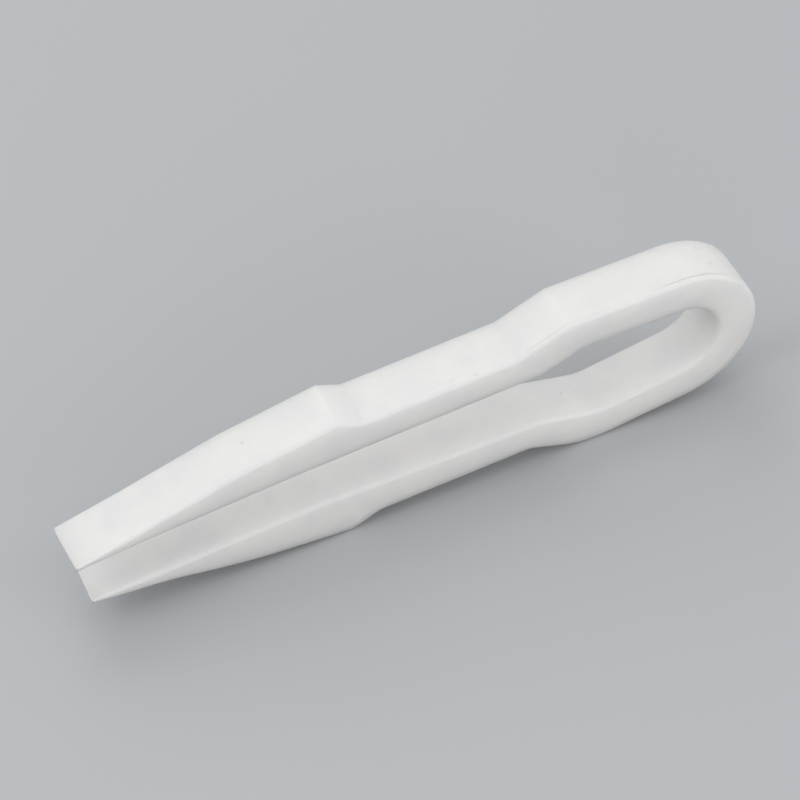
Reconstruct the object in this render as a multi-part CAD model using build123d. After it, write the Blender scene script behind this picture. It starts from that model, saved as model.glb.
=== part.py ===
from build123d import *
import os
from math import acos, asin, atan, atan2, cos, degrees, hypot, radians, sin, tan

# Tweezers cut in one piece from a thick PTFE sheet: a bow, two sprung arms and two thin tips.
# The profile is drawn in the XZ plane with the bow's centre at the origin, the tips towards -X
# and the upper arm towards +Z. The sheet's thickness runs along Y, with the front face at -Y.
# Distances "along" are measured from the bow's centre towards the tips.

# Whole tweezers, mm
overall_length = 150.0
sheet_thickness = 11.7
tip_edge = 0.7

# Bow; a flare is how much further out than the bow's radius an arm stands where its crank ends
bow_outer_radius = 18.06
bow_inner_radius = 9.1

# Upper arm, outer side: bend of the wedge, crest and foot of the shoulder, crank
upper_bend_along = 96.4
upper_bend_height = 14.3
upper_bend_radius = 28.0
upper_crest_along = 75.1
upper_crest_height = 17.3
upper_shoulder_run = 5.3
upper_grip_height = 14.6
upper_crank_foot_along = 35.9
upper_crank_foot_height = 14.8
upper_crank_foot_radius = 3.9
upper_crank_top_along = 24.7
upper_head_flare = 0.79
upper_crank_top_radius = 3.6

# Upper arm, inner side: tip, gentle sag between tip and crank, crank
upper_tip_gap = 5.1
upper_sag_along = 82.7
upper_sag_height = 6.75
upper_sag_radius = 200.0
upper_throat_foot_along = 31.3
upper_throat_foot_height = 7.05
upper_throat_foot_radius = 4.8
upper_throat_top_along = 20.7
upper_eye_flare = 1.3
upper_throat_top_radius = 12.0

# Lower arm, outer side: hand-cut, so it is no exact mirror image of the upper one
lower_tip_setback = 1.15
lower_bump_along = 113.4
lower_bump_height = 9.8
lower_bump_radius = 11.0
lower_bend_along = 98.1
lower_bend_height = 13.95
lower_bend_radius = 120.0
lower_crest_along = 75.4
lower_crest_height = 17.2
lower_shoulder_run = 6.35
lower_grip_height = 14.65
lower_crank_foot_along = 34.9
lower_crank_foot_height = 14.75
lower_crank_foot_radius = 4.1
lower_crank_top_along = 22.5
lower_head_flare = 2.14
lower_crank_top_radius = 22.5

# Lower arm, inner side
lower_tip_gap = 5.75
lower_sag_along = 83.4
lower_sag_height = 4.8
lower_sag_radius = 210.0
lower_throat_foot_along = 31.75
lower_throat_foot_height = 7.3
lower_throat_foot_radius = 6.0
lower_throat_top_along = 18.55
lower_eye_flare = 2.25
lower_throat_top_radius = 9.3

# Shoulder corners, alike on both arms
crest_radius = 1.1
shoulder_foot_radius = 2.6

# Softened long edges, and how they run out towards the thin tips
front_rounding = 0.9
back_rounding = 0.5
tip_rounding = 0.2
tip_run = 14.0
tip_corner_radius = 0.7
upper_tip_skew = 0.7

# Fine tool mark round the outside of the bow, close behind the front face
mark_setback = 1.0
mark_width = 0.3
mark_depth = 0.15
mark_fade_along = 13.0

# Largest share of a side that one corner's arc may take up
side_share = 0.45

# Derived sizes
half_thickness = sheet_thickness / 2
upper_tip_along = overall_length - bow_outer_radius
lower_tip_along = upper_tip_along - lower_tip_setback
upper_crank_top_height = bow_outer_radius + upper_head_flare
lower_crank_top_height = bow_outer_radius + lower_head_flare
upper_throat_top_height = bow_inner_radius + upper_eye_flare
lower_throat_top_height = bow_inner_radius + lower_eye_flare


def upper_outer_corners():
    """Corners of the upper arm's outer side from tip to bow, each with its radius."""
    return [
        ((-upper_tip_along, upper_tip_gap + tip_edge), 0),
        ((-upper_bend_along, upper_bend_height), upper_bend_radius),
        ((-upper_crest_along, upper_crest_height), crest_radius),
        ((-(upper_crest_along - upper_shoulder_run), upper_grip_height), shoulder_foot_radius),
        ((-upper_crank_foot_along, upper_crank_foot_height), upper_crank_foot_radius),
        ((-upper_crank_top_along, upper_crank_top_height), upper_crank_top_radius),
    ]


def upper_inner_corners():
    """Corners of the upper arm's inner side from tip to bow, each with its radius."""
    return [
        ((-upper_tip_along, upper_tip_gap), 0),
        ((-upper_sag_along, upper_sag_height), upper_sag_radius),
        ((-upper_throat_foot_along, upper_throat_foot_height), upper_throat_foot_radius),
        ((-upper_throat_top_along, upper_throat_top_height), upper_throat_top_radius),
    ]


def lower_outer_corners():
    """Corners of the lower arm's outer side from tip to bow, each with its radius."""
    return [
        ((-lower_tip_along, -(lower_tip_gap + tip_edge)), 0),
        ((-lower_bump_along, -lower_bump_height), lower_bump_radius),
        ((-lower_bend_along, -lower_bend_height), lower_bend_radius),
        ((-lower_crest_along, -lower_crest_height), crest_radius),
        ((-(lower_crest_along - lower_shoulder_run), -lower_grip_height), shoulder_foot_radius),
        ((-lower_crank_foot_along, -lower_crank_foot_height), lower_crank_foot_radius),
        ((-lower_crank_top_along, -lower_crank_top_height), lower_crank_top_radius),
    ]


def lower_inner_corners():
    """Corners of the lower arm's inner side from tip to bow, each with its radius."""
    return [
        ((-lower_tip_along, -lower_tip_gap), 0),
        ((-lower_sag_along, -lower_sag_height), lower_sag_radius),
        ((-lower_throat_foot_along, -lower_throat_foot_height), lower_throat_foot_radius),
        ((-lower_throat_top_along, -lower_throat_top_height), lower_throat_top_radius),
    ]


def tangent_point(start, radius):
    """Point where the line from start touches the circle of that radius round the bow's centre."""
    x, z = start
    side = 1 if z > 0 else -1
    angle = atan2(z, x) - side * acos(radius / hypot(x, z))
    return (radius * cos(angle), radius * sin(angle))


def fitting_radius(before, corner, after, radius):
    """The corner's radius, limited so that its arc fits on the two sides that meet there."""
    arriving = Vector(*corner) - Vector(*before)
    leaving = Vector(*after) - Vector(*corner)
    half_turn = radians(arriving.get_angle(leaving)) / 2
    return min(radius, side_share * min(arriving.length, leaving.length) / tan(half_turn))


def side_of_arm(corners, bow_radius):
    """One side of an arm from its tip to where it runs into the bow, with every corner rounded."""
    points = [corner for corner, radius in corners]
    points.append(tangent_point(points[-1], bow_radius))
    radii = [
        fitting_radius(points[i - 1], points[i], points[i + 1], corners[i][1])
        for i in range(1, len(corners))
    ]
    return FilletPolyline(*points, radius=radii)


def bow_arc(upper_side, lower_side, radius):
    """The bow's half turn between the ends of two sides."""
    return ThreePointArc(upper_side @ 1, (radius, 0), lower_side @ 1)


def profile():
    """The whole outline: both arms, the bow round its eye, and the two straight-cut tips."""
    upper_outer = side_of_arm(upper_outer_corners(), bow_outer_radius)
    lower_outer = side_of_arm(lower_outer_corners(), bow_outer_radius)
    upper_inner = side_of_arm(upper_inner_corners(), bow_inner_radius)
    lower_inner = side_of_arm(lower_inner_corners(), bow_inner_radius)
    outline = Curve() + [
        upper_outer,
        bow_arc(upper_outer, lower_outer, bow_outer_radius),
        lower_outer,
        Line(lower_outer @ 0, lower_inner @ 0),
        lower_inner,
        bow_arc(upper_inner, lower_inner, bow_inner_radius),
        upper_inner,
        Line(upper_inner @ 0, upper_outer @ 0),
    ]
    return make_face(outline)


def tip_zone(along, side):
    """Area of the profile taken up by the thin end of one arm; side is 1 above and -1 below."""
    edge = Align.MIN if side > 0 else Align.MAX
    area = Rectangle(tip_run * 2, bow_outer_radius * 2, align=(Align.CENTER, edge))
    return Pos(-along, 0) * area


def cut_blank():
    """The outline cut through the sheet, without the last stretch of each arm."""
    outline = profile() - tip_zone(upper_tip_along, 1) - tip_zone(lower_tip_along, -1)
    return extrude(Plane.XZ.offset(-half_thickness) * outline, sheet_thickness)


def cut_ends(body):
    """The flat ends of the two arms, the lower arm's first."""
    return body.faces().filter_by(Axis.X).sort_by(Axis.X)[:2].sort_by(Axis.Z)


def soften_edges(body):
    """Rounds the long edges all round the front and the back face, up to the arms' cut ends."""
    end_edges = cut_ends(body).edges()
    for face_y, radius in ((-half_thickness, front_rounding), (half_thickness, back_rounding)):
        rim = body.edges().filter_by_position(Axis.Y, face_y, face_y)
        body = fillet([edge for edge in rim if edge not in end_edges], radius)
    return body


def thin_tip(cut_end, along, middle_height, skew):
    """One arm's end, run out from the softened section behind it to a thin, straight-cut edge."""
    turn = atan(skew / sheet_thickness)
    tip_plane = Plane(
        (-along - skew / 2, 0, middle_height),
        x_dir=(-sin(turn), cos(turn), 0),
        z_dir=(cos(turn), sin(turn), 0),
    )
    tip_face = RectangleRounded(sheet_thickness / cos(turn), tip_edge, tip_rounding)
    return loft([cut_end, tip_plane * tip_face], ruled=True)


def corner_waste(along, side, skew):
    """What is rounded off the two corners of one tip, seen from above."""
    deep = -along + tip_run / 2
    rounded = FilletPolyline(
        (deep, -half_thickness),
        (-along, -half_thickness),
        (-along - skew, half_thickness),
        (deep, half_thickness),
        radius=tip_corner_radius,
    )
    kept = make_face(Curve() + [rounded, Line(rounded @ 1, rounded @ 0)])
    around = Rectangle(tip_run * 2, sheet_thickness * 2, align=(Align.MAX, Align.CENTER))
    return extrude(Pos(deep, 0) * around - kept, side * bow_outer_radius)


def fade_point(side):
    """Where the tool mark runs out on the straight run of an arm's outer side beside the bow."""
    run = side.edges().sort_by(Axis.X)[-1]
    share = (-mark_fade_along - (run @ 0).X) / ((run @ 1).X - (run @ 0).X)
    point = run @ share
    return (point.X, point.Y)


def tool_mark():
    """Shallow groove round the outside of the bow, which fades out along both arms."""
    upper_fade = fade_point(side_of_arm(upper_outer_corners(), bow_outer_radius))
    lower_fade = fade_point(side_of_arm(lower_outer_corners(), bow_outer_radius))
    floor_radius = bow_outer_radius - mark_depth
    upper_floor = Line(upper_fade, tangent_point(upper_fade, floor_radius))
    lower_floor = Line(lower_fade, tangent_point(lower_fade, floor_radius))
    floor = Curve() + [
        upper_floor,
        bow_arc(upper_floor, lower_floor, floor_radius),
        lower_floor,
        Line(lower_fade, upper_fade),
    ]
    reach = bow_outer_radius * 3
    around = Pos(-mark_fade_along, 0) * Rectangle(reach, reach, align=(Align.MIN, Align.CENTER))
    waste = Plane.XZ.offset(half_thickness - mark_setback) * (around - make_face(floor))
    return extrude(waste, -mark_width)


def tweezers():
    """The one solid, in the profile's own place."""
    body = soften_edges(cut_blank())
    lower_end, upper_end = cut_ends(body)
    upper_middle = upper_tip_gap + tip_edge / 2
    lower_middle = -lower_tip_gap - tip_edge / 2
    body += thin_tip(upper_end, upper_tip_along, upper_middle, upper_tip_skew)
    body += thin_tip(lower_end, lower_tip_along, lower_middle, 0)
    body -= corner_waste(upper_tip_along, 1, upper_tip_skew)
    body -= corner_waste(lower_tip_along, -1, 0)
    return body - tool_mark()


def rest_pitch():
    """Angle by which the tips drop when the lower arm rests on its crest and its crank."""
    side = side_of_arm(lower_outer_corners(), bow_outer_radius)
    arcs = side.edges().filter_by(GeomType.CIRCLE).sort_by(Axis.X)
    crest, crank_top = arcs[-4], arcs[-1]
    across = crank_top.arc_center - crest.arc_center
    lean = asin((crank_top.radius - crest.radius) / across.length)
    return degrees(lean - atan2(across.Y, across.X))


def standing(body):
    """The body as it stands on its lower arm, with its lowest points at Z = 0 under its middle."""
    tilted = Rot(0, -rest_pitch(), 0) * body
    box = tilted.bounding_box()
    return Pos(-box.center().X, -box.center().Y, -box.min.Z) * tilted


os.makedirs("parts", exist_ok=True)
export_step(standing(tweezers()), "parts/tweezers_body.step")
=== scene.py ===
from math import radians

import bpy
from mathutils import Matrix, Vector


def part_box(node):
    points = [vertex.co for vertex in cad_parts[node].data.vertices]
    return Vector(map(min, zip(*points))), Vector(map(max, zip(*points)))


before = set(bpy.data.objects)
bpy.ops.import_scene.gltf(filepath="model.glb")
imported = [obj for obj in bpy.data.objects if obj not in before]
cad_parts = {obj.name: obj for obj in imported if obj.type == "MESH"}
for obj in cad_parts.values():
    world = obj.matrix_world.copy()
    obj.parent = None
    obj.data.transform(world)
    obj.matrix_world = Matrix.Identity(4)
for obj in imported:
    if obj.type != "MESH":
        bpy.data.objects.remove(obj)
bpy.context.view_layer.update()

MM = 0.001
TWEEZERS = "tweezers_body"

# The sheet that the tweezers are cut from, in mm: half its thickness, how far its front edges turn
# round, and how far from the sheet's middle the band of an edge fades in and out
HALF_SHEET = (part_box(TWEEZERS)[1].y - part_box(TWEEZERS)[0].y) / 2 / MM
EDGE_ROUNDING = 0.9
EDGE_BEGINS = (HALF_SHEET - EDGE_ROUNDING * 1.2, HALF_SHEET - EDGE_ROUNDING * 0.7)
EDGE_ENDS = (HALF_SHEET, HALF_SHEET - EDGE_ROUNDING * 0.25)

# How squarely a surface faces out of the sheet: where the sheet's face fades in, and its cut walls
SHEET_TURN = (0.75, 0.98)
WALL_TURN = (0.35, 0.05)

# The photograph's viewpoint in the tweezers' own frame, how the camera is turned there in degrees,
# and its lens and sensor in mm
CAMERA_PLACE_MM = (-126.69, -314.26, 424.89)
CAMERA_TURN = (40.324, 2.314, -24.229)
CAMERA_LENS = 117.58
SENSOR_WIDTH = 36.0

# Colours of the plastic, of the paper under it, and of what surrounds them
PTFE_WHITE = "#F2F1EF"
PTFE_SHADE = "#ECECEC"
# The grime colour also paints the shade along the cutter's line
PTFE_GRIME_AND_SHADE = "#8F8C86"
PAPER_SEEN = "#BFC2C5"
PAPER_BOUNCE = "#404040"
STUDIO_SEEN = "#B9BCBF"
STUDIO_FILL = "#FFFFFF"

# Sizes of the plastic's patterns in mm: drifting whiteness, sintered grain, and the cutter's and the
# skiving blade's fine lines, which are finer on the real part and are drawn coarse enough to show
CLOUD_SIZE = 9.0
GRAIN_SIZE = 0.5
CHATTER_PITCH = 0.9
CHATTER_LENGTH = 54.0
SKIVE_PITCH = 0.6
SKIVE_LENGTH = 24.0
NICK_SIZE = 0.7
NICK_LENGTH = 2.0
DUST_SPACING = 13.0
DUST_SIZE = 0.16
LINE_DRIFT_SIZE = 5.0

# How many layers of finer and finer noise each pattern has
FINE_LAYERS = 3.0
STREAK_LAYERS = 2.0
CHATTER_LAYERS = 1.0

# Between which levels of its noise each pattern fades in; scratches and the cutter's line break alike
CLOUD_LEVELS = (0.35, 0.7)
SATIN_LEVELS = (0.3, 0.7)
NICK_LEVELS = (0.58, 0.72)
BREAK_LEVELS = (0.3, 0.6)

# How deep each pattern and mark goes, in mm
GRAIN_DEPTH = 0.006
CHATTER_DEPTH = 0.010
SKIVE_DEPTH = 0.008
NICK_DEPTH = 0.03
SCRATCH_DEPTH = 0.05
LINE_DEPTH = 0.02

# The plastic's gloss, how light bends into it, and how far light wanders inside, alike in each colour:
# less in the thin tips than in the bow, in mm, and where along the part it begins and ends to grow
ROUGHNESS = (0.46, 0.60)
EDGE_POLISH = 0.10
PTFE_IOR = 1.35
GLOW_SHARE = 1.0
GLOW_RADIUS = (1.0, 1.0, 1.0)
GLOW_AT_TIPS = 2.0
GLOW_AT_BOW = 7.0
TIPS_END_X = -72.0
THICK_FROM_X = -35.0

# The paper under the tweezers: its width in metres, the size and depth of its fibres in mm, how
# strongly they stand out, and how matt it is
FLOOR_WIDTH = 3.0
FIBRE_SIZE = 0.7
FIBRE_DEPTH = 0.02
FIBRE_STRENGTH = 0.3
PAPER_ROUGHNESS = 0.9

# Soft boxes in metres and watts, and how strong the even light round them is
LIT_POINT = (0.0, 0.0, 0.02)
SOFT_BOX_SIZE = 0.5
SOFT_BOXES = [
    ("left_box", (-0.566, 0.0, 0.566), 1.25),
    ("back_box", (0.0, 0.566, 0.566), 1.05),
    ("right_box", (0.549, -0.549, 0.192), 2.0),
    ("front_box", (-0.300, -0.717, 0.192), 1.0),
]
FILL_STRENGTH = 0.60
BACKDROP_STRENGTH = 1.0

# Marks on the surface: middle and half sizes in mm, turn about Z in degrees, and how dark each is
SPECKS = [
    ((-36.2, 0.9, 31.1), (0.46, 0.38, 0.5), 0, 0.42),
    ((-34.3, -4.8, 31.4), (0.26, 0.22, 0.4), 0, 0.26),
    ((-26.2, -5.8, 9.6), (0.30, 0.4, 0.26), 0, 0.32),
    ((-32.6, 0.6, 11.5), (0.28, 0.24, 0.4), 0, 0.22),
    ((-52.1, -5.8, 8.4), (0.38, 0.4, 0.24), 0, 0.25),
    ((-5.0, 3.9, 32.4), (0.3, 0.25, 0.4), 0, 0.25),
    ((33.6, 1.0, 9.9), (0.45, 0.25, 0.4), 20, 0.3),
    ((47.6, 0.6, 9.8), (0.3, 0.2, 0.4), 0, 0.2),
]
SMUDGES = [
    ((65.1, 3.1, 36.9), (1.6, 1.0, 1.4), 15, 0.20),
    ((65.8, -1.6, 36.6), (1.5, 0.6, 1.2), 5, 0.28),
    ((57.5, 3.4, 38.6), (3.0, 1.2, 0.8), 10, 0.10),
    ((13.9, 2.5, 33.4), (2.2, 1.6, 0.8), 30, 0.10),
    ((46.0, -5.6, 34.6), (4.0, 0.6, 1.3), 0, 0.12),
]
SCRATCHES = [
    ((6.5, -4.2, 33.0), (1.3, 0.10, 0.5), 12, 0.30),
    ((11.4, -5.0, 33.2), (1.0, 0.12, 0.5), -8, 0.35),
    ((5.8, -4.8, 11.9), (1.5, 0.10, 0.5), 6, 0.40),
    ((28.0, -5.3, 36.6), (1.2, 0.12, 0.8), 4, 0.30),
    ((37.7, -5.0, 38.4), (1.1, 0.10, 0.5), -5, 0.30),
    ((-45.8, -3.6, 10.6), (2.2, 0.08, 0.5), 5, 0.25),
    ((-50.5, -4.7, 10.3), (1.3, 0.10, 0.5), -4, 0.30),
]
# The cutter's line with painted shade: on the crank, faint on the head, and darkest in the groove round
# the bow
CUTTER_LINES_SHADED = [
    ((27.0, -5.00, 36.0), (7.5, 0.19, 12.0), 0, 0.22),
    ((37.0, -5.02, 38.4), (9.0, 0.17, 12.0), 0, 0.10),
    ((68.0, -4.70, 50.0), (23.0, 0.22, 23.0), 0, 0.70),
]

# How much of each kind of mark is soft rim, how dark dust and worn edges are, and how faint the
# cutter's line of painted shade gets where it is weakest
SPECK_RIM = 1.0
SMUDGE_RIM = 1.0
SCRATCH_RIM = 0.8
LINE_RIM = 0.5
DUST_DARKNESS = 0.4
EDGE_GRIME = 0.05
LINE_AT_WEAKEST = 0.55

# Ways in which two values are put together, and the soft step between two levels
TIMES = {"operation": "MULTIPLY"}
PLUS = {"operation": "ADD"}
PLUS_TO_ONE = {"operation": "ADD", "use_clamp": True}
MINUS = {"operation": "SUBTRACT"}
UNSIGNED = {"operation": "ABSOLUTE"}
GREATER = {"operation": "MAXIMUM"}
SOFT_STEP = {"interpolation_type": "SMOOTHSTEP"}
COLOURS = {"data_type": "RGBA"}

# Sockets of a mix of two colours, which share their names with its other sockets
MIX_SHARE = 0
MIX_FROM = 6
MIX_TO = 7
MIX_RESULT = 2


def linear(hex_colour):
    """A colour written as sRGB hex, as the linear values that a shader takes."""
    channels = [int(hex_colour[i:i + 2], 16) / 255 for i in (1, 3, 5)]
    return [c / 12.92 if c <= 0.04045 else ((c + 0.055) / 1.055) ** 2.4 for c in channels] + [1.0]


def add(tree, kind, settings=None, inputs=None):
    """Adds a node with its settings; an input is a value, or the node or socket that feeds it."""
    node = tree.nodes.new(kind)
    for name, value in (settings or {}).items():
        setattr(node, name, value)
    for key, value in (inputs or {}).items():
        if isinstance(value, bpy.types.Node):
            value = value.outputs[0]
        if isinstance(value, bpy.types.NodeSocket):
            tree.links.new(value, node.inputs[key])
        else:
            node.inputs[key].default_value = value
    return node


def start_material(name):
    """An empty material, its nodes and its output, and the place on the piece in mm."""
    material = bpy.data.materials.new(name)
    material.use_nodes = True
    tree = material.node_tree
    tree.nodes.clear()
    output = add(tree, "ShaderNodeOutputMaterial")
    coordinates = add(tree, "ShaderNodeTexCoord")
    place = add(tree, "ShaderNodeMapping", inputs={
        "Vector": coordinates.outputs["Object"],
        "Scale": (1 / MM, 1 / MM, 1 / MM),
    })
    return material, tree, output, place


def draw_marks(tree, place, marks, rim):
    """Small oval marks on the plastic, each as dark as its list says and soft over its rim."""
    total = 0.0
    for middle, half_sizes, turn, darkness in marks:
        oval = add(tree, "ShaderNodeMapping", {"vector_type": "TEXTURE"}, {
            "Vector": place,
            "Location": middle,
            "Rotation": (0, 0, radians(turn)),
            "Scale": half_sizes,
        })
        reach = add(tree, "ShaderNodeVectorMath", {"operation": "LENGTH"}, {0: oval}).outputs["Value"]
        mark = add(tree, "ShaderNodeMapRange", SOFT_STEP, {
            "Value": reach,
            "From Min": 1.0,
            "From Max": 1.0 - rim,
            "To Max": darkness,
        })
        total = add(tree, "ShaderNodeMath", PLUS, {0: total, 1: mark})
    return total


def streaks(tree, place, sizes, layers):
    """Noise drawn out into streaks, with the size of one streak along X, Y and Z in mm."""
    stretched = add(tree, "ShaderNodeMapping", inputs={
        "Vector": place,
        "Scale": [1 / size for size in sizes],
    })
    return add(tree, "ShaderNodeTexNoise", inputs={"Vector": stretched, "Scale": 1.0, "Detail": layers})


def areas_of_sheet(tree, place):
    """Where the sheet's two faces are, the walls cut through it, and the edges between them."""
    normal = add(tree, "ShaderNodeTexCoord").outputs["Normal"]
    facing = add(tree, "ShaderNodeSeparateXYZ", inputs={"Vector": normal}).outputs["Y"]
    facing = add(tree, "ShaderNodeMath", UNSIGNED, {0: facing})
    depth = add(tree, "ShaderNodeSeparateXYZ", inputs={"Vector": place}).outputs["Y"]
    depth = add(tree, "ShaderNodeMath", UNSIGNED, {0: depth})
    on_sheet, on_wall, edge_begins, edge_ends = [
        add(tree, "ShaderNodeMapRange", SOFT_STEP, {"Value": level, "From Min": start, "From Max": end})
        for level, (start, end) in (
            (facing, SHEET_TURN),
            (facing, WALL_TURN),
            (depth, EDGE_BEGINS),
            (depth, EDGE_ENDS),
        )
    ]
    edge = add(tree, "ShaderNodeMath", TIMES, {0: edge_begins, 1: edge_ends})
    return on_sheet, on_wall, edge


def worn_edges(tree, place, edge):
    """Small nicks along the rounded edges."""
    nick_field = streaks(tree, place, (NICK_LENGTH, NICK_SIZE, NICK_SIZE), STREAK_LAYERS)
    nicks = add(tree, "ShaderNodeMapRange", SOFT_STEP, {
        "Value": nick_field,
        "From Min": NICK_LEVELS[0],
        "From Max": NICK_LEVELS[1],
    })
    return add(tree, "ShaderNodeMath", TIMES, {0: edge, 1: nicks})


def dust_and_specks(tree, place):
    """Dust strewn thinly all over, and the specks that the photograph shows."""
    dust_cells = add(tree, "ShaderNodeTexVoronoi", inputs={"Vector": place, "Scale": 1 / DUST_SPACING})
    dust = add(tree, "ShaderNodeMapRange", SOFT_STEP, {
        "Value": dust_cells.outputs["Distance"],
        "From Min": DUST_SIZE / DUST_SPACING,
        "From Max": 0.0,
        "To Max": DUST_DARKNESS,
    })
    return add(tree, "ShaderNodeMath", PLUS, {0: dust, 1: draw_marks(tree, place, SPECKS, SPECK_RIM)})


def broken_scratches(tree, place, grain):
    """Scratches, broken up by the grain."""
    broken = add(tree, "ShaderNodeMapRange", SOFT_STEP, {
        "Value": grain,
        "From Min": BREAK_LEVELS[0],
        "From Max": BREAK_LEVELS[1],
    })
    scratches = draw_marks(tree, place, SCRATCHES, SCRATCH_RIM)
    return add(tree, "ShaderNodeMath", TIMES, {0: scratches, 1: broken})


def fading_shaded_cutter_line(tree, place):
    """Painted shade along the cutter's line, stronger and weaker along its way."""
    drift = add(tree, "ShaderNodeTexNoise", inputs={
        "Vector": place,
        "Scale": 1 / LINE_DRIFT_SIZE,
        "Detail": STREAK_LAYERS,
    })
    strength = add(tree, "ShaderNodeMapRange", SOFT_STEP, {
        "Value": drift,
        "From Min": BREAK_LEVELS[0],
        "From Max": BREAK_LEVELS[1],
        "To Min": LINE_AT_WEAKEST,
    })
    line = draw_marks(tree, place, CUTTER_LINES_SHADED, LINE_RIM)
    return add(tree, "ShaderNodeMath", TIMES, {0: line, 1: strength})


def plastic_colour(tree, cloud, dirt_and_shade):
    """White that drifts a little, greyed where dirt lies and where shade is painted along the cutter's
    line.
    """
    drift = add(tree, "ShaderNodeMapRange", SOFT_STEP, {
        "Value": cloud,
        "From Min": CLOUD_LEVELS[0],
        "From Max": CLOUD_LEVELS[1],
    })
    white = add(tree, "ShaderNodeMix", COLOURS, {
        MIX_SHARE: drift,
        MIX_FROM: linear(PTFE_WHITE),
        MIX_TO: linear(PTFE_SHADE),
    })
    soiled = add(tree, "ShaderNodeMix", COLOURS, {
        MIX_SHARE: dirt_and_shade,
        MIX_FROM: white.outputs[MIX_RESULT],
        MIX_TO: linear(PTFE_GRIME_AND_SHADE),
    })
    return soiled.outputs[MIX_RESULT]


def plastic_gloss(tree, grain, edge):
    """Satin that varies with the grain, a little glossier where handling has burnished the edges."""
    satin = add(tree, "ShaderNodeMapRange", SOFT_STEP, {
        "Value": grain,
        "From Min": SATIN_LEVELS[0],
        "From Max": SATIN_LEVELS[1],
        "To Min": ROUGHNESS[0],
        "To Max": ROUGHNESS[1],
    })
    burnish = add(tree, "ShaderNodeMath", TIMES, {0: edge, 1: EDGE_POLISH})
    return add(tree, "ShaderNodeMath", MINUS, {0: satin, 1: burnish})


def glow_reach(tree, place):
    """How far light wanders inside, from the thin tips to the thick bow."""
    along = add(tree, "ShaderNodeSeparateXYZ", inputs={"Vector": place}).outputs["X"]
    return add(tree, "ShaderNodeMapRange", SOFT_STEP, {
        "Value": along,
        "From Min": TIPS_END_X,
        "From Max": THICK_FROM_X,
        "To Min": GLOW_AT_TIPS * MM,
        "To Max": GLOW_AT_BOW * MM,
    })


def skived_ptfe():
    """White PTFE, sintered, skived to sheet and routed: satin and waxy, soft-edged because light
    wanders inside it, with faint lines along its faces and across its cut walls."""
    material, tree, output, place = start_material("sintered_ptfe_cut_from_sheet")
    on_sheet, on_wall, edge = areas_of_sheet(tree, place)
    cloud, grain = [
        add(tree, "ShaderNodeTexNoise", inputs={"Vector": place, "Scale": 1 / size, "Detail": FINE_LAYERS})
        for size in (CLOUD_SIZE, GRAIN_SIZE)
    ]
    skive_lines = streaks(tree, place, (SKIVE_LENGTH, SKIVE_PITCH, SKIVE_PITCH), STREAK_LAYERS)
    chatter_lines = streaks(tree, place, (CHATTER_PITCH, CHATTER_LENGTH, CHATTER_PITCH), CHATTER_LAYERS)
    worn_edge = worn_edges(tree, place, edge)
    scratches = broken_scratches(tree, place, grain)
    # The cutter's line: a shallow groove in the relief, and painted shade in its colour
    cutter_line_shaded = fading_shaded_cutter_line(tree, place)

    smudges = draw_marks(tree, place, SMUDGES, SMUDGE_RIM)
    smudges = add(tree, "ShaderNodeMath", TIMES, {0: smudges, 1: cloud})
    # Dirt, dust, smudges and scratches, and the painted shade along the cutter's line, all grey the white
    dirt_and_shade = add(tree, "ShaderNodeMath", TIMES, {0: worn_edge, 1: EDGE_GRIME})
    for marks in (dust_and_specks(tree, place), smudges, scratches, cutter_line_shaded):
        dirt_and_shade = add(tree, "ShaderNodeMath", PLUS_TO_ONE, {0: dirt_and_shade, 1: marks})

    height = add(tree, "ShaderNodeMath", TIMES, {0: grain, 1: GRAIN_DEPTH})
    for pattern, where, rise in (
        (skive_lines, on_sheet, SKIVE_DEPTH),
        (chatter_lines, on_wall, CHATTER_DEPTH),
        (worn_edge, 1.0, -NICK_DEPTH),
        (scratches, 1.0, -SCRATCH_DEPTH),
        (cutter_line_shaded, 1.0, -LINE_DEPTH),
    ):
        there = add(tree, "ShaderNodeMath", TIMES, {0: pattern, 1: where})
        step = add(tree, "ShaderNodeMath", TIMES, {0: there, 1: rise})
        height = add(tree, "ShaderNodeMath", PLUS, {0: height, 1: step})
    relief = add(tree, "ShaderNodeBump", inputs={"Strength": 1.0, "Distance": MM, "Height": height})

    shader = add(tree, "ShaderNodeBsdfPrincipled", inputs={
        "Base Color": plastic_colour(tree, cloud, dirt_and_shade),
        "Roughness": plastic_gloss(tree, grain, edge),
        "Normal": relief,
        "IOR": PTFE_IOR,
        "Subsurface Weight": GLOW_SHARE,
        "Subsurface Radius": GLOW_RADIUS,
        "Subsurface Scale": glow_reach(tree, place),
    })
    tree.links.new(shader.outputs["BSDF"], output.inputs["Surface"])
    return material


def pale_paper():
    """Pale matt paper; to the light that bounces off it, it is darker than it looks."""
    material, tree, output, place = start_material("pale_matt_paper")
    fibres = add(tree, "ShaderNodeTexNoise", inputs={
        "Vector": place,
        "Scale": 1 / FIBRE_SIZE,
        "Detail": FINE_LAYERS,
    })
    bounced = add(tree, "ShaderNodeLightPath").outputs["Is Diffuse Ray"]
    colour = add(tree, "ShaderNodeMix", COLOURS, {
        MIX_SHARE: bounced,
        MIX_FROM: linear(PAPER_SEEN),
        MIX_TO: linear(PAPER_BOUNCE),
    })
    relief = add(tree, "ShaderNodeBump", inputs={
        "Strength": FIBRE_STRENGTH,
        "Distance": FIBRE_DEPTH * MM,
        "Height": fibres,
    })
    shader = add(tree, "ShaderNodeBsdfPrincipled", inputs={
        "Base Color": colour.outputs[MIX_RESULT],
        "Roughness": PAPER_ROUGHNESS,
        "Normal": relief,
    })
    tree.links.new(shader.outputs["BSDF"], output.inputs["Surface"])
    return material


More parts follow.
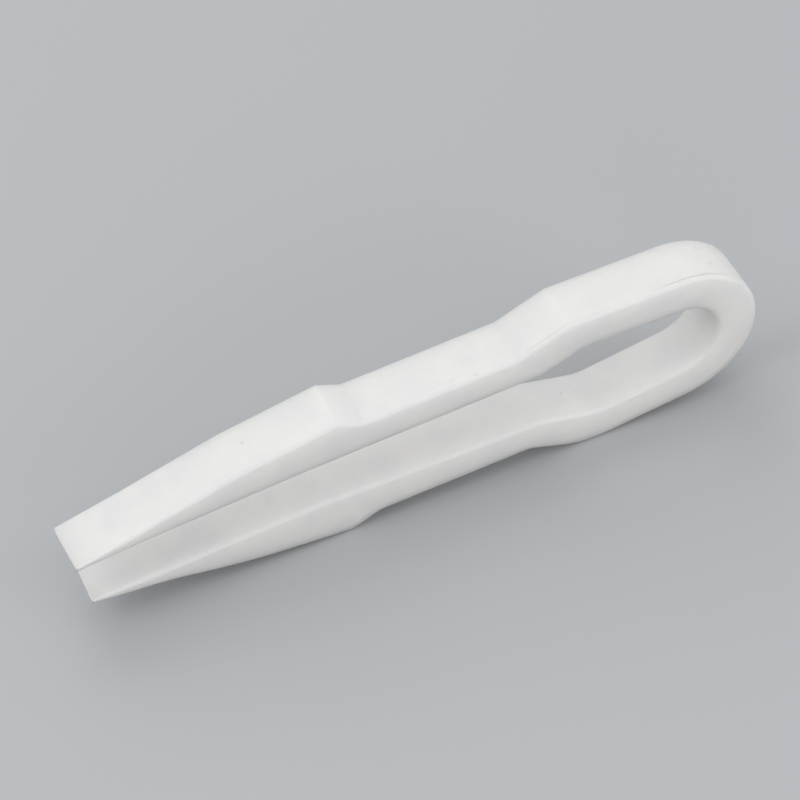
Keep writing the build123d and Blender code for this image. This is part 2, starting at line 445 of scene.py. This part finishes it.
def make_floor():
    bpy.ops.mesh.primitive_plane_add(size=FLOOR_WIDTH, location=(0, 0, 0))
    floor = bpy.context.object
    floor.name = "floor"
    floor.data.materials.append(pale_paper())


def make_camera():
    camera_data = bpy.data.cameras.new("camera")
    camera_data.lens = CAMERA_LENS
    camera_data.sensor_width = SENSOR_WIDTH
    camera = bpy.data.objects.new("camera", camera_data)
    camera.location = Vector(CAMERA_PLACE_MM) * MM
    camera.rotation_euler = [radians(angle) for angle in CAMERA_TURN]
    bpy.context.collection.objects.link(camera)
    bpy.context.scene.camera = camera


def soft_box(name, place, power):
    """A square soft light, turned to the middle of the tweezers."""
    light_data = bpy.data.lights.new(name, "AREA")
    light_data.size = SOFT_BOX_SIZE
    light_data.energy = power
    light = bpy.data.objects.new(name, light_data)
    light.location = place
    light.rotation_euler = (Vector(LIT_POINT) - Vector(place)).to_track_quat("-Z", "Y").to_euler()
    bpy.context.collection.objects.link(light)


def make_studio():
    """Even light from all round with soft boxes on top of it, and a pale backdrop for the eye."""
    world = bpy.data.worlds.new("studio")
    bpy.context.scene.world = world
    world.use_nodes = True
    tree = world.node_tree
    tree.nodes.clear()
    path = add(tree, "ShaderNodeLightPath")
    seen = add(tree, "ShaderNodeMath", GREATER, {
        0: path.outputs["Is Camera Ray"],
        1: path.outputs["Is Glossy Ray"],
    })
    seen = add(tree, "ShaderNodeMath", GREATER, {0: seen, 1: path.outputs["Is Transmission Ray"]})
    fill = add(tree, "ShaderNodeBackground", inputs={
        "Color": linear(STUDIO_FILL),
        "Strength": FILL_STRENGTH,
    })
    backdrop = add(tree, "ShaderNodeBackground", inputs={
        "Color": linear(STUDIO_SEEN),
        "Strength": BACKDROP_STRENGTH,
    })
    both = add(tree, "ShaderNodeMixShader", inputs={0: seen, 1: fill, 2: backdrop})
    add(tree, "ShaderNodeOutputWorld", inputs={"Surface": both})
    for name, place, power in SOFT_BOXES:
        soft_box(name, place, power)


bpy.ops.object.select_all(action="DESELECT")
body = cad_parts[TWEEZERS]
body.data.materials.clear()
body.data.materials.append(skived_ptfe())
make_floor()
make_camera()
make_studio()
bpy.context.scene.view_settings.view_transform = "Standard"
